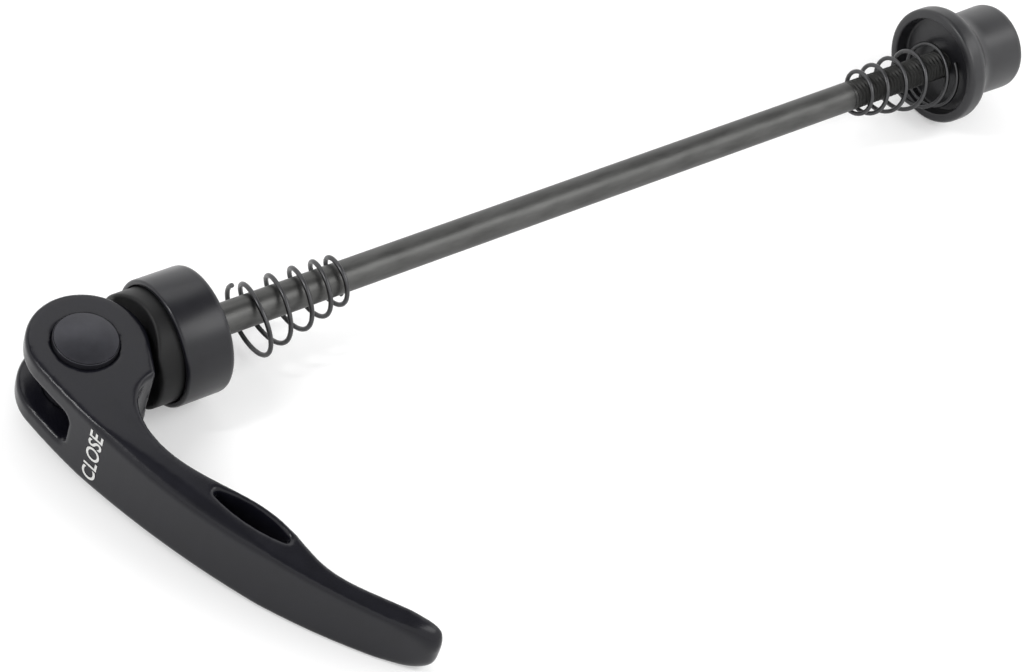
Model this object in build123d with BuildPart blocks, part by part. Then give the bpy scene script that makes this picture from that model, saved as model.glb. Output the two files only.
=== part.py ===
# Quick release skewer for a rear bicycle hub, lying on a flat surface with its lever closed.
# Millimetres. The origin is the centre of the cup's clamping face, on the axis of the rod.
# +X runs along the rod from the cup to the adjusting nut, and +Z is up.
import os
from math import acos, asin, atan2, cos, degrees, radians, sin, sqrt, tan

from build123d import *

# Rod and the two clamping faces
rod_radius = 2.5
clamp_gap = 149.2  # from the cup's clamping face to the nut's
thread_clearance = 0.05
sliding_clearance = 0.4
rod_end_chamfer = 0.5

# Pivot barrel
pivot_offset = 20.3  # from the cup's clamping face back to the pivot axis
barrel_radius = 4.8
barrel_proud = 0.8  # rim of the barrel above the ear's flat
barrel_dome = 0.7  # rise of the domed end above its rim
rod_depth_past_pivot = 2.6
running_clearance = 0.05

# Lever, drawn in its own plane with the pivot axis at (0, 0)
ear_radius = 8.9
ear_eccentricity = 0.5  # ear centre ahead of the pivot, towards the cup
lever_half_height = 6.6
fork_slot_half = 3.2
fork_slot_floor = 8.6  # reach at which the slot between the ears ends
fork_slot_round = 1.5
tip_half_height = 4.3
tip_side_round = 4.1
lever_reach = 63.4  # pivot to the far end of the handle, across the rod
tip_lead = 20.3  # outer face at the tip, along the rod
handle_start_angle = 7.4  # where the outer face leaves the ear, in degrees past its back
heel_reach = 8.8  # corner where the ears step in to the handle's neck
heel_lead = 6.5
heel_round = 0.8
tip_thickness = 2.7
tip_corner = 1.3
facet_start = 2.6  # the facets begin this far outside the chord
facet_slope = 10.0
facet_hollow = 0.5
window_corner = 0.55
window_bow = 2.1  # outer side of the window, out from the chord
neck_bend = 2.2  # inner edge where the neck ends, in from the chord
neck_depth = 5.2  # inner edge beside the heel, in from the chord

# Cup and cam saddle
cup_radius = 9.8
cup_length = 8.1
cup_wall = 0.95
cup_floor = 1.0
cup_face_recess = 1.0
cup_face_recess_radius = 7.2
cup_edge_bevel = 0.7
saddle_clearance = 0.05
cam_gap = 0.3
saddle_trough_radius = 15.0
saddle_horn = 1.4  # height of the saddle's rim over the bottom of its trough

# Springs
spring_wire_radius = 0.42
spring_small_radius = 3.35  # to the centre of the wire
spring_turns = 4.5
lever_spring_large_radius = 5.9
lever_spring_start = 7.7
lever_spring_length = 16.2
nut_spring_length = 20.0
nut_spring_drop = 2.0
spring_seat_gap = 0.15
spring_side_gap = 0.38  # wide turn of the nut spring to the dish round it

# Adjusting nut
flange_radius = 10.2
flange_rim = 2.8
flange_edge_bevel = 0.7
nut_length = 15.3
nut_waist_radius = 7.4
nut_waist_start = 6.0
nut_end_radius = 7.5
nut_end_bevel = 1.1
dish_rim = 1.6  # width of the nut's clamping face
dish_depth = 2.4
lock_ring_radius = 4.0
lock_ring_length = 3.2
lock_ring_clearance = 0.02
lock_ring_inset = 0.5
rod_end_inset = 1.2

# Attitude at rest: the handle's tip comes down to the surface under the flange
taper_start = fork_slot_floor * 2
taper_depth = lever_half_height - tip_half_height
tip_contact_reach = lever_reach - tip_side_round
tip_contact_share = (tip_contact_reach - taper_start) / (lever_reach - taper_start)
tip_contact_half_height = lever_half_height - taper_depth * tip_contact_share**2
roll = degrees(asin((flange_radius - tip_contact_half_height) / tip_contact_reach))

# Derived places
pivot_x = -pivot_offset
nut_face_x = clamp_gap
nut_end_x = nut_face_x + nut_length
rod_end_x = nut_end_x - rod_end_inset
dish_radius = flange_radius - dish_rim
roll_sine, roll_cosine = sin(radians(roll)), cos(radians(roll))
lever_plane = Plane(origin=(pivot_x, 0, 0), x_dir=(1, 0, 0), z_dir=(0, -roll_sine, roll_cosine))
axle_plane = Plane.XZ  # profiles that are turned about the rod's axis
barrel_half_length = lever_half_height + barrel_proud

# Outer face of the handle: an arc that leaves the ear at a tangent and ends at the tip
ear_centre = Vector(ear_eccentricity, 0)
start_angle = radians(180 + handle_start_angle)
chord_start = ear_centre + Vector(cos(start_angle), sin(start_angle)) * ear_radius
outer_tangent = Vector(-sin(start_angle), cos(start_angle))
chord_end = Vector(tip_lead, -lever_reach)
chord = chord_end - chord_start
chord_direction = chord.normalized()
chord_outward = Vector(chord_direction.Y, -chord_direction.X)

# Heel of the ears: a flat that leaves the ear at a tangent and ends at a corner over the neck
heel = Vector(heel_lead, -heel_reach)
heel_distance = (heel - ear_centre).length
heel_flat_angle = atan2(heel.Y - ear_centre.Y, heel.X - ear_centre.X) + acos(ear_radius / heel_distance)
heel_start = ear_centre + Vector(cos(heel_flat_angle), sin(heel_flat_angle)) * ear_radius


def on_handle(along, inward):
    """A point of the lever's plane: along is the share of the chord, inward the distance in from it."""
    return chord_start + chord * along - chord_outward * inward


def in_space(direction):
    """A direction of the lever's plane, as it stands in the object."""
    return lever_plane.x_dir * direction.X + lever_plane.y_dir * direction.Y


os.makedirs("parts", exist_ok=True)


# Skewer rod: drawn wire, screwed into the barrel at one end and carrying the nut at the other
with BuildPart() as skewer_rod:
    with BuildSketch(Plane.YZ.offset(pivot_x - rod_depth_past_pivot)):
        Circle(rod_radius)
    extrude(amount=rod_end_x - pivot_x + rod_depth_past_pivot)
    chamfer(skewer_rod.faces().sort_by(Axis.X)[-1].edges(), rod_end_chamfer)
skewer_rod.part.label = "skewer_rod"
export_step(skewer_rod.part, "parts/skewer_rod.step")


# Pivot barrel: a cross dowel with domed ends, drilled for the rod
with BuildPart() as pivot_barrel:
    with BuildSketch(Plane(lever_plane.origin, x_dir=lever_plane.x_dir, z_dir=-lever_plane.y_dir)):
        with BuildLine():
            rim = barrel_half_length
            crown = rim + barrel_dome
            Polyline(
                (0, -crown),
                (barrel_radius * 0.55, -crown),
                (barrel_radius, -rim),
                (barrel_radius, rim),
                (barrel_radius * 0.55, crown),
                (0, crown),
                close=True,
            )
        make_face()
    revolve(axis=Axis(lever_plane.origin, lever_plane.z_dir))
    with BuildSketch(Plane.YZ.offset(pivot_x - rod_depth_past_pivot)):
        Circle(rod_radius + thread_clearance)
    extrude(amount=barrel_radius + rod_depth_past_pivot, mode=Mode.SUBTRACT)
pivot_barrel.part.label = "pivot_barrel"
export_step(pivot_barrel.part, "parts/pivot_barrel.step")


# Lever: forged in one piece, with a fork of two round ears and a bowed, faceted handle
with BuildPart() as lever:
    pivot_axis = Axis(lever_plane.origin, lever_plane.z_dir)
    with BuildSketch(lever_plane):
        with BuildLine():
            tip_inner = on_handle(1.0, tip_thickness)
            TangentArc(chord_start, chord_end, tangent=outer_tangent)
            Line(chord_end, tip_inner)
            Spline(
                tip_inner,
                on_handle(0.86, 0.9),
                on_handle(0.715, -0.5),
                on_handle(0.635, 0.9),
                on_handle(0.57, 1.6),
                on_handle(0.36, 0.35),
                on_handle(0.25, neck_bend),
                on_handle(0.20, neck_depth),
                heel,
            )
            Line(heel, heel_start)
            ThreePointArc(heel_start, ear_centre + Vector(0, ear_radius), chord_start)
        make_face()
    extrude(amount=lever_half_height, both=True)
    reach_axis = Axis(lever_plane.origin, lever_plane.y_dir)
    fillet(lever.edges().filter_by(pivot_axis).sort_by(reach_axis)[:2], tip_corner)
    heel_corner = lever_plane.from_local_coords(heel)
    fillet(lever.edges().filter_by(pivot_axis).sort_by_distance(heel_corner)[0], heel_round)
    # Side taper, from the ears down to the rounded tip
    side_plane = Plane(lever_plane.origin, x_dir=lever_plane.y_dir, z_dir=lever_plane.x_dir)
    with BuildSketch(side_plane.offset(-lever_reach)) as side:
        with BuildLine():
            back = ear_radius + ear_eccentricity
            tip_top = (-lever_reach, tip_half_height)
            tip_bottom = (-lever_reach, -tip_half_height)
            TangentArc((-taper_start, lever_half_height), tip_top, tangent=(-1, 0))
            Line(tip_top, tip_bottom)
            TangentArc((-taper_start, -lever_half_height), tip_bottom, tangent=(-1, 0))
            Polyline(
                (-taper_start, -lever_half_height),
                (back, -lever_half_height),
                (back, lever_half_height),
                (-taper_start, lever_half_height),
            )
        make_face()
        fillet(side.vertices().group_by(Axis.X)[0], tip_side_round)
    extrude(amount=2 * lever_reach, mode=Mode.INTERSECT)
    # Hollow facets along the outer face, deepest where the handle bows out most
    facet_plane = Plane(
        lever_plane.from_local_coords(chord_start),
        x_dir=in_space(chord_outward),
        z_dir=in_space(chord_direction),
    )
    facet_reach = ear_radius * 1.5
    facet_drop = (facet_reach - facet_start) * tan(radians(facet_slope))
    facet_middle = (facet_start + facet_reach) / 2
    facet_low = lever_half_height - facet_drop
    facet_sag = lever_half_height - facet_drop / 2 - facet_hollow
    with BuildSketch(facet_plane.offset(-ear_radius * 2)):
        with BuildLine():
            Line((facet_start, lever_half_height), (-lever_reach, lever_half_height))
            Line((-lever_reach, lever_half_height), (-lever_reach, -lever_half_height))
            Line((-lever_reach, -lever_half_height), (facet_start, -lever_half_height))
            ThreePointArc(
                (facet_start, -lever_half_height),
                (facet_middle, -facet_sag),
                (facet_reach, -facet_low),
            )
            Line((facet_reach, -facet_low), (facet_reach, facet_low))
            ThreePointArc(
                (facet_reach, facet_low),
                (facet_middle, facet_sag),
                (facet_start, lever_half_height),
            )
        make_face()
    extrude(amount=chord.length + ear_radius * 4, mode=Mode.INTERSECT)
    # Fork slot between the ears, open all round the pivot and closed towards the handle
    with BuildSketch(side_plane.offset(-lever_reach)) as slot:
        with Locations((lever_reach / 2 - fork_slot_floor, 0)):
            RectangleRounded(lever_reach, 2 * fork_slot_half, fork_slot_round)
    extrude(amount=2 * lever_reach, mode=Mode.SUBTRACT)
    # Hole for the pivot barrel
    with BuildSketch(lever_plane):
        Circle(barrel_radius + running_clearance)
    extrude(amount=lever_half_height, both=True, mode=Mode.SUBTRACT)
    # Window beside the thumb strap
    with BuildSketch(lever_plane) as window:
        with BuildLine():
            window_top = on_handle(0.435, -1.0)
            window_end = on_handle(0.65, -0.8)
            ThreePointArc(window_top, on_handle(0.54, -window_bow), window_end)
            ThreePointArc(window_end, on_handle(0.56, 0.6), window_top)
        make_face()
        fillet(window.vertices(), window_corner)
    extrude(amount=lever_half_height, both=True, mode=Mode.SUBTRACT)
lever.part.label = "lever"
export_step(lever.part, "parts/lever.step")


# Lever cup: turned, with a pocket for the saddle and a recessed clamping face
cup_bore = rod_radius + sliding_clearance
pocket_radius = cup_radius - cup_wall
pocket_floor_x = -cup_face_recess - cup_floor
with BuildPart() as lever_cup:
    with BuildSketch(axle_plane):
        with BuildLine():
            Polyline(
                (pocket_floor_x, cup_bore),
                (pocket_floor_x, pocket_radius),
                (-cup_length, pocket_radius),
                (-cup_length, cup_radius),
                (0, cup_radius),
                (0, cup_face_recess_radius),
                (-cup_face_recess, cup_face_recess_radius),
                (-cup_face_recess, cup_bore),
                close=True,
            )
        make_face()
    revolve(axis=Axis.X)
    cup_rims = lever_cup.edges().filter_by(GeomType.CIRCLE).group_by(SortBy.RADIUS)[-1].sort_by(Axis.X)
    chamfer(cup_rims[-1], cup_edge_bevel)
lever_cup.part.label = "lever_cup"
export_step(lever_cup.part, "parts/lever_cup.step")


# Cam saddle: moulded, seated in the cup, with a shallow trough that the ears turn against
trough_x = pivot_x + ear_eccentricity + ear_radius + cam_gap
saddle_radius = pocket_radius - saddle_clearance
with BuildPart() as cam_saddle:
    with BuildSketch(axle_plane):
        with BuildLine():
            Polyline(
                (pocket_floor_x, cup_bore),
                (pocket_floor_x, saddle_radius),
                (trough_x - saddle_horn, saddle_radius),
                (trough_x - saddle_horn, cup_bore),
                close=True,
            )
        make_face()
    revolve(axis=Axis.X)
    with BuildSketch(lever_plane):
        with Locations((trough_x - pivot_x - saddle_trough_radius, 0)):
            Circle(saddle_trough_radius)
    extrude(amount=cup_radius * 2, both=True, mode=Mode.SUBTRACT)
cam_saddle.part.label = "cam_saddle"
export_step(cam_saddle.part, "parts/cam_saddle.step")


# Lever spring: a conical coil that hangs on the rod, its narrow end towards the hub
def cone_angle(large, length):
    rise = large - spring_small_radius
    return degrees(asin(rise / sqrt(length**2 + rise**2)))


lever_spring_drop = lever_spring_large_radius - spring_small_radius
lever_spring_axis = Vector(lever_spring_length, 0, lever_spring_drop).normalized()
lever_spring_wide = Vector(lever_spring_start, 0, -lever_spring_drop)
with BuildPart() as lever_spring:
    with BuildLine():
        lever_coil = Helix(
            lever_spring_length / spring_turns,
            lever_spring_length,
            lever_spring_large_radius,
            center=lever_spring_wide,
            direction=lever_spring_axis,
            cone_angle=-cone_angle(lever_spring_large_radius, lever_spring_length),
        )
    with BuildSketch(lever_coil ^ 0):
        RegularPolygon(spring_wire_radius, 4)
    sweep(path=lever_coil, is_frenet=True)
lever_spring.part.label = "lever_spring"
export_step(lever_spring.part, "parts/lever_spring.step")


# Nut spring: the same coil turned round, its wide end seated in the nut's dished face
nut_spring_large_radius = dish_radius - spring_side_gap - spring_wire_radius - nut_spring_drop
nut_spring_wide_x = nut_face_x + dish_depth - spring_wire_radius - spring_seat_gap
nut_spring_narrow = Vector(nut_spring_wide_x - nut_spring_length, 0, 0)
nut_spring_axis = Vector(nut_spring_length, 0, -nut_spring_drop).normalized()
with BuildPart() as nut_spring:
    with BuildLine():
        nut_coil = Helix(
            nut_spring_length / spring_turns,
            nut_spring_length,
            spring_small_radius,
            center=nut_spring_narrow,
            direction=nut_spring_axis,
            cone_angle=cone_angle(nut_spring_large_radius, nut_spring_length),
        )
    with BuildSketch(nut_coil ^ 0):
        RegularPolygon(spring_wire_radius, 4)
    sweep(path=nut_coil, is_frenet=True)
nut_spring.part.label = "nut_spring"
export_step(nut_spring.part, "parts/nut_spring.step")


# Adjusting nut: turned, with a dished flange, a hollow waist and a slightly flared grip
nut_bore = rod_radius + thread_clearance
with BuildPart() as adjusting_nut:
    with BuildSketch(axle_plane):
        with BuildLine():
            Polyline(
                (nut_face_x + flange_rim, flange_radius),
                (nut_face_x + nut_waist_start, nut_waist_radius),
                (nut_end_x, nut_end_radius),
                (nut_end_x, lock_ring_radius + lock_ring_clearance),
                (nut_end_x - lock_ring_length, lock_ring_radius + lock_ring_clearance),
                (nut_end_x - lock_ring_length, nut_bore),
                (nut_face_x + dish_depth, nut_bore),
                (nut_face_x + dish_depth, dish_radius),
                (nut_face_x, dish_radius),
                (nut_face_x, flange_radius),
                close=True,
            )
        make_face()
    revolve(axis=Axis.X)
    flange_rims = adjusting_nut.edges().filter_by(GeomType.CIRCLE).group_by(SortBy.RADIUS)[-1]
    chamfer(flange_rims.sort_by(Axis.X)[0], flange_edge_bevel)
    end_face = adjusting_nut.faces().sort_by(Axis.X)[-1]
    chamfer(end_face.edges().sort_by(SortBy.RADIUS)[-1], nut_end_bevel)
adjusting_nut.part.label = "adjusting_nut"
export_step(adjusting_nut.part, "parts/adjusting_nut.step")


# Lock ring: nylon, pressed into the outer end of the nut
with BuildPart() as nut_lock_ring:
    with BuildSketch(Plane.YZ.offset(nut_end_x - lock_ring_length)):
        Circle(lock_ring_radius)
        Circle(rod_radius + thread_clearance, mode=Mode.SUBTRACT)
    extrude(amount=lock_ring_length - lock_ring_inset)
nut_lock_ring.part.label = "nut_lock_ring"
export_step(nut_lock_ring.part, "parts/nut_lock_ring.step")
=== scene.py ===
from math import cos, pi, radians, sin

import bmesh
import bpy
from mathutils import Matrix, Vector


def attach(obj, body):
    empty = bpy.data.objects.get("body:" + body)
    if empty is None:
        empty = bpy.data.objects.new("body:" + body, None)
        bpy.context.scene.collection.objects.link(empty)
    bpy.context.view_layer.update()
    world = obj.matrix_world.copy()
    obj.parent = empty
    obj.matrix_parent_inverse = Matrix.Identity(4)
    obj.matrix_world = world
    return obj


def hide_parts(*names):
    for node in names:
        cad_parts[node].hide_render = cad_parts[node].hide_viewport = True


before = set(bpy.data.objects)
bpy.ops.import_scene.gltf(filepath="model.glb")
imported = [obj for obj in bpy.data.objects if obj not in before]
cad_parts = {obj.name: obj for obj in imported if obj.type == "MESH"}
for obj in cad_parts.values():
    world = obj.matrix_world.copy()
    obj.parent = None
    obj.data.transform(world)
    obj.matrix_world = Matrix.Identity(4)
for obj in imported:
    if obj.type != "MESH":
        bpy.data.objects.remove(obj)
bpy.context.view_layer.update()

MM = 0.001
GRAIN_HEIGHT = 0.02  # millimetres
NOISE_RANGE = (0.3, 0.7)  # where nearly all of a noise texture's values lie
TURNED_SHARP = radians(40)
THREAD_SHARP = radians(50)

# Sizes and places in millimetres of the part's frame: +X along the rod, 0 at the cup's clamping face
ROD_RADIUS = 2.5
ROD_START = -22.9
ROD_END = 163.3
ROD_END_SHARE = 0.8  # of the radius, where the end's chamfer stops
ROD_CHAMFER = 0.5
ROD_CLEARANCE = 0.05
ROD_SIDES = 40
DRILL_OVERRUN = 1.0  # of the rod's hole, past the near side of the dowel
THREAD_START = 129.0
THREAD_LEAD_IN = 1.0  # before it, where the rod's plain length ends
THREAD_PITCH = 0.8
THREAD_DEPTH = 0.4
THREAD_STEPS = 8  # rings of points in one pitch
THREAD_RUN_IN = 16  # rings over which the thread grows to its full depth

PIVOT = Vector((-20.3, 0.0, 0.0))
LEVER_ROLL = radians(5.331356)  # about the rod, so that the handle's tip comes down to the floor
LEVER_MATRIX = Matrix.Translation(PIVOT) @ Matrix.Rotation(LEVER_ROLL, 4, "X")
TO_LEVER = LEVER_MATRIX.inverted() @ Matrix.Scale(1 / MM, 4)
BARREL_RADIUS = 4.8
BARREL_RIM = 7.4  # from the middle of the dowel to the foot of its dome
BARREL_DOME = 0.7
BARREL_EDGE = 0.18
BARREL_POLE = 0.02  # radius of the small flat at the top of the dome
BARREL_STEPS = 8
EAR_CENTRE = 0.5
EAR_RADIUS = 8.9
OUTER_START = radians(187.4)  # round the ear, where the handle's outer face leaves it
TIP = Vector((20.3, -63.4))
TIP_REACH = 6.0
TIP_PASSES = 70

# How a solid's rims are eased: what counts as one point, as flat, as a rim, and as part of the dowel's seat
MERGE_DISTANCE = 0.004
FLAT_ANGLE = radians(0.4)
RIM_ANGLE = radians(35)
RIM_STEPS = 4
SEAT_RADIUS = BARREL_RADIUS + 0.3

CUP_RADIUS = 9.8
CUP_LIP = -8.1
CUP_LIP_DEPTH = 0.3
CUP_LIP_WIDTH = 0.2
CUP_FLOOR = -2.0
CUP_INSIDE = 8.85
CUP_BORE = 2.9
CUP_RECESS_RADIUS = 7.2
CUP_RECESS_FLOOR = -1.0

# Along the nut, these count from the flange's clamping face
NUT_FACE = 149.2
NUT_LENGTH = 15.3
NUT_BORE = 2.55
FLANGE_RADIUS = 10.2
FLANGE_LENGTH = 2.8
DISH_DEPTH = 2.4
DISH_RADIUS = 8.3
DISH_MOUTH = 8.6
WAIST_START = 3.4
WAIST_LENGTH = 4.6
WAIST_RADIUS = 7.4
WAIST_RISE = 2.5
WAIST_CURVE = 2.6  # power of the fall from the flange to the grip
WAIST_STEPS = 12
GRIP_RADIUS = 7.55
RING_POCKET_RADIUS = 4.02
RING_POCKET_FLOOR = 12.1

WIRE_RADIUS = 0.38
WIRE_SIDES = 12
COIL_STEPS = 64  # points in one turn
CLOSED_PITCH = 2.1  # rise of a closed turn, in wire radii
CLOSED_START = 1.0  # turns that lie closed at the wide end
CLOSED_END = 0.5  # and at the narrow end
LEVER_SPRING = {
    "turns": 5.4, "start_radius": 5.9, "end_radius": 3.35, "phase": 0.74,
    "start": Vector((8.6, 0, -2.55)), "end": Vector((24.8, 0, 0)),
}
NUT_SPRING = {
    "turns": 5.6, "start_radius": 5.8, "end_radius": 3.35, "phase": 1.0,
    "start": Vector((150.5, 0, -2.0)), "end": Vector((131.0, 0, 0)),
}

WORD_HEIGHT = 3.5
WORD_STROKE = 0.05  # how much bolder than the font
WORD_ALONG = 13.4  # along the outer face from where it leaves the ear
WORD_ASIDE = 0.3
WORD_LIFT = 0.06

FLOOR_Z = -FLANGE_RADIUS
FLOOR_REACH = 4000
WHITE = (1.0, 1.0, 1.0, 1.0)
PAPER_SEEN = "#f2f2f2"
PAPER_BOUNCE = "#cdcdcd"
PAPER_GLOW = 0.2  # share of the paper's look that is even light, which softens the shadow
TENT_OPENING = (0.0, 0.25, 0.968)  # up and a little to the back
TENT_LEVEL = 1.42
OPENING_LEVEL = 0.36
OPENING_RIM = (0.66, 0.80)  # cosines of the angles from its middle between which the tent ends

# Studio lights: name, place, what it points at, width and height, then watts
LIGHTS = (
    ("side_softbox", (230, -230, 330), (40, 0, 0), 220, 220, 0.5),
    ("edge_strip", (-280, 80, 341), (-28, -8, 5), 30, 220, 0.75),
    ("back_softbox", (60, 190, 252), (-20, 8, 7), 260, 140, 0.21),
    ("nut_softbox", (355, -87, 207), (157, 0, 0), 100, 100, 0.08),
)


def rgb(code):
    """Linear colour of an sRGB hex code."""
    parts = [int(code[i:i + 2], 16) / 255 for i in (1, 3, 5)]
    return [c / 12.92 if c <= 0.04045 else ((c + 0.055) / 1.055) ** 2.4 for c in parts] + [1.0]


def add(tree, kind, links=(), **values):
    """A node of that kind, with its properties and sockets set and its inputs linked."""
    node = tree.nodes.new(kind)
    for name, value in values.items():
        if hasattr(node, name):
            setattr(node, name, value)
        else:
            node.inputs[name.replace("_", " ")].default_value = value
    for socket, source in links:
        tree.links.new(source, node.inputs[socket])
    return node


def new_material(name):
    """A new material with its node tree and its surface shader."""
    material = bpy.data.materials.new(name)
    material.use_nodes = True
    tree = material.node_tree
    return material, tree, tree.nodes["Principled BSDF"]


def finish(
    name, colour, *, roughness, grain_mm, grain, mottle_mm, mottle, edge_mm,
    metallic=0.0, specular=0.5, stretch=(1, 1, 1),
):
    """A surface finish: fine grain in the height, mottling in colour and roughness, softened edges.

    The real grain is a few hundredths of a millimetre. It is drawn at a tenth and more, so that it shows.
    """
    material, tree, surface = new_material(name)
    place = add(tree, "ShaderNodeTexCoord").outputs["Object"]
    coords = add(tree, "ShaderNodeMapping", [("Vector", place)], Scale=stretch).outputs["Vector"]
    fine = add(tree, "ShaderNodeTexNoise", [("Vector", coords)], Scale=1 / (grain_mm * MM), Detail=3.0)
    wide = add(tree, "ShaderNodeTexNoise", [("Vector", coords)], Scale=1 / (mottle_mm * MM), Detail=4.0)
    spread = add(
        tree, "ShaderNodeMapRange", [("Value", wide.outputs["Fac"])],
        From_Min=NOISE_RANGE[0], From_Max=NOISE_RANGE[1],
    )
    tint = add(tree, "ShaderNodeMix", [(0, spread.outputs[0])], data_type="RGBA")
    tint.inputs[6].default_value = [c * (1 - mottle) for c in rgb(colour)[:3]] + [1.0]
    tint.inputs[7].default_value = [c * (1 + mottle) for c in rgb(colour)[:3]] + [1.0]
    tree.links.new(tint.outputs[2], surface.inputs["Base Color"])
    rough = add(
        tree, "ShaderNodeMapRange", [("Value", wide.outputs["Fac"])],
        To_Min=roughness * (1 - mottle), To_Max=roughness * (1 + mottle),
    )
    tree.links.new(rough.outputs[0], surface.inputs["Roughness"])
    edge = add(tree, "ShaderNodeBevel", samples=8, Radius=edge_mm * MM)
    links = [("Height", fine.outputs["Fac"]), ("Normal", edge.outputs[0])]
    bump = add(tree, "ShaderNodeBump", links, Strength=grain, Distance=GRAIN_HEIGHT * MM)
    tree.links.new(bump.outputs[0], surface.inputs["Normal"])
    surface.inputs["Metallic"].default_value = metallic
    surface.inputs["Specular IOR Level"].default_value = specular
    return material


def paint_thread_shade(material, level, fade=1.5):
    """Painted shade: the base colour darker from the thread on, over a short fade, for the shade in its
    valleys and under the spring.
    """
    tree = material.node_tree
    surface = tree.nodes["Principled BSDF"]
    paint = surface.inputs["Base Color"].links[0].from_socket
    place = add(tree, "ShaderNodeTexCoord").outputs["Object"]
    along = add(tree, "ShaderNodeSeparateXYZ", [("Vector", place)]).outputs["X"]
    shade = add(
        tree, "ShaderNodeMapRange", [("Value", along)], To_Min=1.0, To_Max=level,
        From_Min=(THREAD_START - fade) * MM, From_Max=(THREAD_START + fade) * MM,
    )
    scaled = add(tree, "ShaderNodeVectorMath", [(0, paint)], operation="SCALE")
    tree.links.new(shade.outputs[0], scaled.inputs["Scale"])
    tree.links.new(scaled.outputs[0], surface.inputs["Base Color"])


def linked(name, data):
    """An object with that data, in the scene."""
    obj = bpy.data.objects.new(name, data)
    bpy.context.scene.collection.objects.link(obj)
    return obj


def evaluated_mesh(obj):
    """A plain mesh of the object with its modifiers applied."""
    return bpy.data.meshes.new_from_object(obj.evaluated_get(bpy.context.evaluated_depsgraph_get()))


def mesh_object(name, vertices, faces, material, smooth=True):
    """A piece from vertices in millimetres, its faces turned outwards."""
    mesh = bpy.data.meshes.new(name)
    mesh.from_pydata([[c * MM for c in v] for v in vertices], [], faces)
    work = bmesh.new()
    work.from_mesh(mesh)
    bmesh.ops.recalc_face_normals(work, faces=work.faces)
    work.to_mesh(mesh)
    work.free()
    mesh.materials.append(material)
    for polygon in mesh.polygons:
        polygon.use_smooth = smooth
    return linked(name, mesh)


def rounded(profile, steps=5):
    """A profile of (along, radius, corner round) points with its corners rounded off."""
    points = []
    for i, (along, radius, corner) in enumerate(profile):
        here = Vector((along, radius))
        if corner == 0:
            points.append(here)
            continue
        before = Vector(profile[i - 1][:2])
        after = Vector(profile[(i + 1) % len(profile)][:2])
        start = here + (before - here).normalized() * corner
        end = here + (after - here).normalized() * corner
        for k in range(steps + 1):
            t = k / steps
            points.append(start * (1 - t) ** 2 + here * 2 * t * (1 - t) + end * t ** 2)
    return points


def turned(name, profile, matrix, material, closed, segments=96):
    """A lathe-turned piece: the profile of (along, radius) points goes round the local X axis."""
    rows = len(profile)
    vertices = []
    for point in profile:
        for k in range(segments):
            angle = 2 * pi * k / segments
            vertices.append(matrix @ Vector((point.x, point.y * cos(angle), point.y * sin(angle))))
    faces = []
    for i in range(rows if closed else rows - 1):
        j = (i + 1) % rows
        for k in range(segments):
            n = (k + 1) % segments
            faces.append((i * segments + k, j * segments + k, j * segments + n, i * segments + n))
    if not closed:
        faces.append(range(segments))
        faces.append(range((rows - 1) * segments, rows * segments))
    obj = mesh_object(name, vertices, faces, material)
    obj.data.set_sharp_from_angle(angle=TURNED_SHARP)
    return obj


def cup_profile():
    """The cup: open to the lever for the saddle, with a recess in its clamping face."""
    return rounded([
        (CUP_FLOOR, CUP_BORE, 0), (CUP_FLOOR, CUP_INSIDE, 0), (CUP_LIP + CUP_LIP_DEPTH, CUP_INSIDE, 0),
        (CUP_LIP, CUP_INSIDE + CUP_LIP_WIDTH, 0.12), (CUP_LIP, CUP_RADIUS, 0.45), (0.0, CUP_RADIUS, 1.0),
        (0.0, CUP_RECESS_RADIUS, 0.25), (CUP_RECESS_FLOOR, CUP_RECESS_RADIUS, 0),
        (CUP_RECESS_FLOOR, CUP_BORE, 0),
    ])


def nut_profile():
    """The nut: a dished flange, a hollow waist, and a grip with a pocket for the lock ring."""
    face = NUT_FACE
    end = face + NUT_LENGTH
    pocket = face + RING_POCKET_FLOOR
    dish = face + DISH_DEPTH
    flange = [
        (face, DISH_MOUTH, 0.3), (face, FLANGE_RADIUS, 0.8), (face + FLANGE_LENGTH, FLANGE_RADIUS, 0.55),
    ]
    waist = []
    for k in range(WAIST_STEPS + 1):
        t = k / WAIST_STEPS
        fall = WAIST_RISE * (1 - t) ** WAIST_CURVE
        waist.append((face + WAIST_START + WAIST_LENGTH * t, WAIST_RADIUS + fall, 0))
    grip = [(end, GRIP_RADIUS, 1.4), (end, RING_POCKET_RADIUS, 0.3), (pocket, RING_POCKET_RADIUS, 0)]
    inside = [(pocket, NUT_BORE, 0), (dish, NUT_BORE, 0), (dish, DISH_RADIUS, 0.4)]
    return rounded(flange + waist + grip + inside)


def barrel_profile():
    """The cross dowel with a low dome on each end, along the pivot axis."""
    half = []
    for k in range(BARREL_STEPS + 1):
        share = sin(radians(90 * k / BARREL_STEPS))
        rise = BARREL_DOME * (1 - share ** 2)
        half.append((BARREL_RIM + rise, max(BARREL_RADIUS * share, BARREL_POLE), 0))
    half[-1] = (BARREL_RIM, BARREL_RADIUS, BARREL_EDGE)
    return rounded(half + [(-along, radius, corner) for along, radius, corner in reversed(half)])


def drilled(obj, start, end, radius):
    """The piece with a hole along X through it, from start to end."""
    rings = [(start, radius, 0), (end, radius, 0)]
    own_material = obj.data.materials[0]
    cutter = turned(obj.name + "_cutter", rounded(rings), Matrix(), own_material, closed=False, segments=48)
    cut = obj.modifiers.new("hole", "BOOLEAN")
    cut.operation = "DIFFERENCE"
    cut.solver = "EXACT"
    cut.object = cutter
    mesh = evaluated_mesh(obj)
    obj.modifiers.clear()
    obj.data = mesh
    bpy.data.objects.remove(cutter)
    return obj


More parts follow.
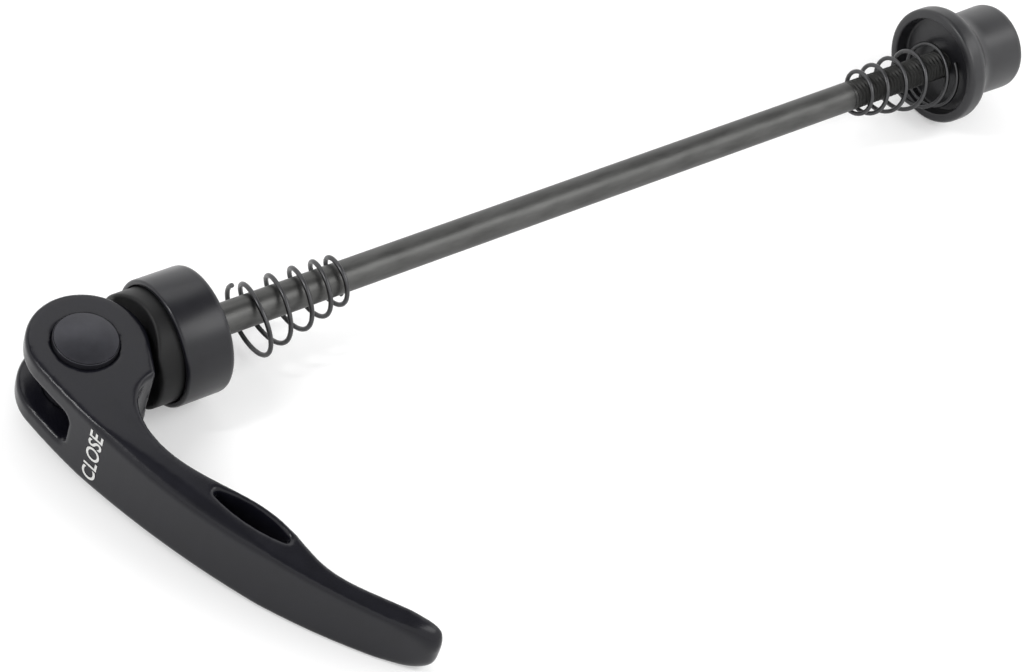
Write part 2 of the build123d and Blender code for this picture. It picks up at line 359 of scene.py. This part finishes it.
def cross_dowel(material):
    """The dowel that the lever turns on, with its hole for the rod."""
    upright = LEVER_MATRIX @ Matrix.Rotation(-pi / 2, 4, "Y")
    dowel = turned("cross_dowel", barrel_profile(), upright, material, closed=False)
    mouth = PIVOT.x + BARREL_RADIUS + DRILL_OVERRUN
    return drilled(dowel, ROD_START, mouth, ROD_RADIUS + ROD_CLEARANCE)


def eased(name, node, rim, grid, passes, material):
    """A forged or moulded piece: the solid's own form on an even mesh, with its rims rounded."""
    work = bmesh.new()
    work.from_mesh(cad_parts[node].data)
    bmesh.ops.remove_doubles(work, verts=work.verts, dist=MERGE_DISTANCE * MM)
    bmesh.ops.dissolve_limit(work, angle_limit=FLAT_ANGLE, verts=work.verts, edges=work.edges)
    rims = []
    for edge in work.edges:
        beside_dowel = (TO_LEVER @ edge.verts[0].co).xy.length < SEAT_RADIUS
        if edge.calc_face_angle(0) > RIM_ANGLE and not beside_dowel:
            rims.append(edge)
    bmesh.ops.bevel(
        work, geom=rims, offset=rim * MM, offset_type="OFFSET", segments=RIM_STEPS, profile=0.5,
        affect="EDGES", clamp_overlap=False,
    )
    source = linked(name + "_source", bpy.data.meshes.new(name + "_source"))
    work.to_mesh(source.data)
    work.free()
    even = source.modifiers.new("even", "REMESH")
    even.mode = "VOXEL"
    even.voxel_size = grid * MM
    even.use_smooth_shade = True
    ease = source.modifiers.new("ease", "SMOOTH")
    ease.factor = 0.5
    ease.iterations = passes
    mesh = evaluated_mesh(source)
    bpy.data.objects.remove(source)
    mesh.name = name
    mesh.materials.clear()
    mesh.materials.append(material)
    return linked(name, mesh)


def round_tip(obj):
    """The handle's end rounded over: smoothing that reaches less far with each pass."""
    work = bmesh.new()
    work.from_mesh(obj.data)
    from_tip = {vertex: (TO_LEVER @ vertex.co).y - TIP.y for vertex in work.verts}
    for k in range(TIP_PASSES):
        reach = TIP_REACH * (1 - k / TIP_PASSES)
        end = [vertex for vertex in work.verts if from_tip[vertex] < reach]
        bmesh.ops.smooth_vert(work, verts=end, factor=0.5, use_axis_x=True, use_axis_y=True, use_axis_z=True)
    work.to_mesh(obj.data)
    work.free()
    return obj


def threaded_rod(material):
    """The rod with its rolled thread: ridges that climb one pitch in a turn."""
    stations = [(ROD_START, 1.0, 0.0), (THREAD_START - THREAD_LEAD_IN, 1.0, 0.0)]
    count = int((ROD_END - ROD_CHAMFER - THREAD_START) / THREAD_PITCH * THREAD_STEPS)
    for k in range(count + 1):
        along = THREAD_START + k * THREAD_PITCH / THREAD_STEPS
        stations.append((along, 1.0, min(1.0, k / THREAD_RUN_IN)))
    stations.append((ROD_END, ROD_END_SHARE, 0.0))
    vertices = []
    for along, share, cut in stations:
        for k in range(ROD_SIDES):
            turn = k / ROD_SIDES
            phase = ((along - THREAD_START) / THREAD_PITCH - turn) % 1.0
            valley = THREAD_DEPTH * cut * (0.5 + 0.5 * cos(2 * pi * phase))
            radius = ROD_RADIUS * share - valley
            vertices.append((along, radius * cos(2 * pi * turn), radius * sin(2 * pi * turn)))
    last = len(vertices) - 1
    faces = [list(range(ROD_SIDES)), list(range(last, last - ROD_SIDES, -1))]
    for i in range(len(stations) - 1):
        here = i * ROD_SIDES
        beyond = here + ROD_SIDES
        for k in range(ROD_SIDES):
            n = (k + 1) % ROD_SIDES
            faces.append((here + k, here + n, beyond + n, beyond + k))
    obj = mesh_object("threaded_rod", vertices, faces, material)
    obj.data.set_sharp_from_angle(angle=THREAD_SHARP)
    return obj


def coil_tree():
    """Geometry Nodes: a conical coil of round wire whose two ends lie closed."""
    tree = bpy.data.node_groups.new("conical_coil", "GeometryNodeTree")
    for name in ("Turns", "Start Radius", "End Radius", "Length", "Wire Radius"):
        tree.interface.new_socket(name, in_out="INPUT", socket_type="NodeSocketFloat")
    tree.interface.new_socket("Wire", in_out="INPUT", socket_type="NodeSocketMaterial")
    tree.interface.new_socket("Geometry", in_out="OUTPUT", socket_type="NodeSocketGeometry")
    given = add(tree, "NodeGroupInput").outputs
    spiral = add(tree, "GeometryNodeCurveSpiral", [
        ("Rotations", given["Turns"]), ("Start Radius", given["Start Radius"]),
        ("End Radius", given["End Radius"]),
    ], Resolution=COIL_STEPS, Height=0.0)
    share = add(tree, "GeometryNodeSplineParameter").outputs["Factor"]
    turn = add(tree, "ShaderNodeMath", [(0, share), (1, given["Turns"])], operation="MULTIPLY").outputs[0]
    last = add(tree, "ShaderNodeMath", [(0, given["Turns"])], operation="SUBTRACT")
    last.inputs[1].default_value = CLOSED_END
    last = last.outputs[0]
    thick = add(tree, "ShaderNodeMath", [(0, given["Wire Radius"])], operation="MULTIPLY")
    thick.inputs[1].default_value = CLOSED_PITCH
    thick = thick.outputs[0]
    free = add(tree, "ShaderNodeMath", [(0, thick), (2, given["Length"])], operation="MULTIPLY_ADD")
    free.inputs[1].default_value = -2.0
    first_turn = add(tree, "ShaderNodeMapRange", [("Value", turn), ("To Max", thick)], From_Max=CLOSED_START)
    middle = add(tree, "ShaderNodeMapRange", [
        ("Value", turn), ("From Max", last), ("To Max", free.outputs[0]),
    ], From_Min=CLOSED_START)
    end_turn = add(tree, "ShaderNodeMapRange", [
        ("Value", turn), ("From Min", last), ("From Max", given["Turns"]), ("To Max", thick),
    ])
    rise = add(tree, "ShaderNodeMath", [(0, first_turn.outputs[0]), (1, middle.outputs[0])], operation="ADD")
    rise = add(tree, "ShaderNodeMath", [(0, rise.outputs[0]), (1, end_turn.outputs[0])], operation="ADD")
    lift = add(tree, "ShaderNodeCombineXYZ", [("Z", rise.outputs[0])])
    path = add(tree, "GeometryNodeSetPosition", [
        ("Geometry", spiral.outputs[0]), ("Offset", lift.outputs[0]),
    ])
    size = [("Radius", given["Wire Radius"])]
    section = add(tree, "GeometryNodeCurvePrimitiveCircle", size, Resolution=WIRE_SIDES)
    wire = add(tree, "GeometryNodeCurveToMesh", [
        ("Curve", path.outputs[0]), ("Profile Curve", section.outputs[0]),
    ], Fill_Caps=True)
    smooth = add(tree, "GeometryNodeSetShadeSmooth", [("Geometry", wire.outputs[0])])
    real = add(tree, "GeometryNodeRealizeInstances", [("Geometry", smooth.outputs[0])])
    painted = add(tree, "GeometryNodeSetMaterial", [
        ("Geometry", real.outputs[0]), ("Material", given["Wire"]),
    ])
    add(tree, "NodeGroupOutput", [("Geometry", painted.outputs[0])])
    return tree


def coil(tree, name, material, turns, start_radius, end_radius, start, end, phase):
    """A spring from that tree, laid along the line from start to end."""
    source = linked(name + "_source", bpy.data.meshes.new(name + "_source"))
    modifier = source.modifiers.new("coil", "NODES")
    modifier.node_group = tree
    sizes = {
        "Turns": turns, "Start Radius": start_radius * MM, "End Radius": end_radius * MM,
        "Length": (end - start).length * MM, "Wire Radius": WIRE_RADIUS * MM, "Wire": material,
    }
    for item in tree.interface.items_tree:
        if item.in_out == "INPUT":
            modifier[item.identifier] = sizes[item.name]
    mesh = evaluated_mesh(source)
    bpy.data.objects.remove(source)
    lay = (end - start).to_track_quat("Z", "Y").to_matrix().to_4x4()
    mesh.transform(Matrix.Translation(start * MM) @ lay @ Matrix.Rotation(phase, 4, "Z"))
    mesh.name = name
    return linked(name, mesh)


def outer_arc():
    """Centre and radius of the handle's outer face, in the lever's plane."""
    start = Vector((EAR_CENTRE + EAR_RADIUS * cos(OUTER_START), EAR_RADIUS * sin(OUTER_START)))
    inward = Vector((-cos(OUTER_START), -sin(OUTER_START)))
    chord = TIP - start
    radius = chord.length_squared / (2 * chord.dot(inward))
    return start + inward * radius, radius


def lettering(material):
    """The word on the outer face that is read when the lever is shut, wrapped onto the face."""
    curve = bpy.data.curves.new("lever_word", "FONT")
    curve.body = "CLOSE"
    curve.size = WORD_HEIGHT
    curve.align_x = "CENTER"
    curve.align_y = "CENTER"
    curve.offset = WORD_STROKE
    curve.resolution_u = 6
    source = linked("lever_word_source", curve)
    flat = evaluated_mesh(source)
    bpy.data.objects.remove(source)
    centre, radius = outer_arc()
    vertices = []
    for vertex in flat.vertices:
        angle = OUTER_START + (WORD_ALONG - vertex.co.y) / radius
        at = centre + Vector((cos(angle), sin(angle))) * (radius + WORD_LIFT)
        vertices.append(LEVER_MATRIX @ Vector((at.x, at.y, vertex.co.x + WORD_ASIDE)))
    faces = [list(polygon.vertices) for polygon in flat.polygons]
    return mesh_object("lever_word", vertices, faces, material, smooth=False)


def stage_floor():
    """White paper that shows a soft shadow. It is greyer to the light that bounces off it."""
    material, tree, surface = new_material("white_paper")
    rays = add(tree, "ShaderNodeLightPath").outputs
    either = [(0, rays["Is Camera Ray"]), (1, rays["Is Glossy Ray"])]
    seen = add(tree, "ShaderNodeMath", either, operation="MAXIMUM").outputs[0]
    paper = add(tree, "ShaderNodeMix", [(0, seen)], data_type="RGBA")
    paper.inputs[6].default_value = rgb(PAPER_BOUNCE)
    paper.inputs[7].default_value = rgb(PAPER_SEEN)
    tree.links.new(paper.outputs[2], surface.inputs["Base Color"])
    surface.inputs["Roughness"].default_value = 0.95
    surface.inputs["Specular IOR Level"].default_value = 0.0
    glow = add(tree, "ShaderNodeEmission", Color=WHITE, Strength=1.25)
    share = add(tree, "ShaderNodeMath", [(0, rays["Is Camera Ray"])], operation="MULTIPLY")
    share.inputs[1].default_value = PAPER_GLOW
    mix = add(tree, "ShaderNodeMixShader", [
        (0, share.outputs[0]), (1, surface.outputs[0]), (2, glow.outputs[0]),
    ])
    tree.links.new(mix.outputs[0], tree.nodes["Material Output"].inputs["Surface"])
    signs = ((-1, -1), (1, -1), (1, 1), (-1, 1))
    corners = [(x * FLOOR_REACH, y * FLOOR_REACH, FLOOR_Z) for x, y in signs]
    mesh_object("floor", corners, [(0, 1, 2, 3)], material, smooth=False)


def studio_world():
    """A white tent round the object, darker overhead where it is open."""
    world = bpy.data.worlds.new("studio_tent")
    bpy.context.scene.world = world
    world.use_nodes = True
    tree = world.node_tree
    direction = add(tree, "ShaderNodeTexCoord").outputs["Generated"]
    facing = add(tree, "ShaderNodeVectorMath", [(0, direction)], operation="DOT_PRODUCT")
    facing.inputs[1].default_value = TENT_OPENING
    level = add(
        tree, "ShaderNodeMapRange", [("Value", facing.outputs["Value"])], interpolation_type="SMOOTHSTEP",
        From_Min=OPENING_RIM[0], From_Max=OPENING_RIM[1], To_Min=TENT_LEVEL, To_Max=OPENING_LEVEL,
    )
    background = tree.nodes["Background"]
    background.inputs["Color"].default_value = WHITE
    tree.links.new(level.outputs[0], background.inputs["Strength"])


def soft_light(name, place, target, width, height, watts):
    """A rectangular studio light that points at the target."""
    light = bpy.data.lights.new(name, "AREA")
    light.shape = "RECTANGLE"
    light.size = width * MM
    light.size_y = height * MM
    light.energy = watts
    obj = linked(name, light)
    obj.location = Vector(place) * MM
    obj.rotation_euler = (Vector(target) - Vector(place)).to_track_quat("-Z", "Y").to_euler()


def photo_camera():
    """The photograph's viewpoint, from the camera's place and its own right and up directions."""
    data = bpy.data.cameras.new("photo_camera")
    data.sensor_width = 36.0
    data.lens = 100.565
    data.clip_start = 0.01
    camera = linked("photo_camera", data)
    place = Vector((-184.28, -229.86, 301.33)) * MM
    right = Vector((0.79411, -0.57420, 0.19920))
    up = Vector((0.30528, 0.66025, 0.68620))
    rotation = Matrix((right, up, right.cross(up))).transposed().to_4x4()
    camera.matrix_world = Matrix.Translation(place) @ rotation
    bpy.context.scene.camera = camera


# Forged aluminium, satin black anodised: a soft even sheen with a faint blue cast, and no metal mirror
lever_black = finish(
    "satin_black_anodised_aluminium", "#0f0f15", roughness=0.24, grain_mm=0.12, grain=0.18,
    mottle_mm=2.5, mottle=0.14, edge_mm=0.05, specular=0.25,
)
# Turned aluminium, black anodised: a little rougher, so that its highlight is a soft band along it
cup_black = finish(
    "black_anodised_turned_aluminium", "#111116", roughness=0.30, grain_mm=0.10, grain=0.2,
    mottle_mm=2.0, mottle=0.12, edge_mm=0.15, specular=0.36,
)
# Cast aluminium, blackened: a paler, duller black with a coarser skin
nut_black = finish(
    "black_cast_aluminium", "#17171a", roughness=0.36, grain_mm=0.14, grain=0.3,
    mottle_mm=2.0, mottle=0.14, edge_mm=0.15,
)
# Drawn steel, phosphated: dull grey metal, its mottling drawn out along the rod
rod_steel = finish(
    "phosphated_drawn_steel", "#525251", metallic=1.0, roughness=0.44, grain_mm=0.15, grain=0.35,
    mottle_mm=1.6, mottle=0.22, edge_mm=0.05, stretch=(0.25, 1, 1),
)
# Painted shade on the rod: a darker base colour from the thread to the end, for the shade under the nut's
# spring and in the thread's valleys
paint_thread_shade(rod_steel, level=0.35)
# Spring steel wire, blackened: dark metal with a narrow line of light along it
wire_steel = finish(
    "dark_spring_wire", "#4a4a4b", metallic=1.0, roughness=0.36, grain_mm=0.10, grain=0.2,
    mottle_mm=1.0, mottle=0.12, edge_mm=0.05,
)
# Plated steel, dull: part metal and part film, a shade paler than the lever round it
dowel_steel = finish(
    "dull_plated_steel", "#2e2e33", metallic=0.6, roughness=0.34, grain_mm=0.10, grain=0.3,
    mottle_mm=1.5, mottle=0.1, edge_mm=0.1,
)
# Moulded black nylon: hardly any sheen, the darkest of the blacks
nylon = finish(
    "moulded_black_nylon", "#09090a", roughness=0.5, grain_mm=0.2, grain=0.3,
    mottle_mm=1.5, mottle=0.1, edge_mm=0.3, specular=0.25,
)
# Printed paint: flat white, slightly uneven
white_print = finish(
    "white_printed_paint", "#c8c8c6", roughness=0.6, grain_mm=0.10, grain=0.3,
    mottle_mm=0.5, mottle=0.1, edge_mm=0.02,
)

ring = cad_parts["nut_lock_ring"].data
ring.materials.clear()
ring.materials.append(nylon)

dowel = cross_dowel(dowel_steel)
forging = round_tip(eased("lever_forging", "lever", rim=0.7, grid=0.26, passes=5, material=lever_black))
moulding = eased("saddle_moulding", "cam_saddle", rim=0.45, grid=0.2, passes=4, material=nylon)
cup = turned("cup_shell", cup_profile(), Matrix(), cup_black, closed=True)
nut = turned("nut_shell", nut_profile(), Matrix(), nut_black, closed=True)
rod = threaded_rod(rod_steel)
springs = coil_tree()
lever_coil = coil(springs, "lever_coil", wire_steel, **LEVER_SPRING)
nut_coil = coil(springs, "nut_coil", wire_steel, **NUT_SPRING)

# Each piece with the body that it rides on, the node that it replaces and its slot
PIECES = (
    (forging, "lever", "lever", "lever_black"),
    (moulding, "cup", "cam_saddle", "saddle_nylon"),
    (cup, "cup", "lever_cup", "cup_black"),
    (nut, "nut", "adjusting_nut", "nut_black"),
    (dowel, "skewer", "pivot_barrel", "barrel_steel"),
    (rod, "skewer", "skewer_rod", "rod_steel"),
    (lever_coil, "cup", "lever_spring", "spring_steel"),
    (nut_coil, "nut_spring", "nut_spring", "spring_steel"),
)
for obj, body, node, slot in PIECES:
    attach(obj, body)
    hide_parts(node)

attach(lettering(white_print), "lever")

stage_floor()
studio_world()
photo_camera()
for light in LIGHTS:
    soft_light(*light)

bpy.context.scene.view_settings.view_transform = "Standard"
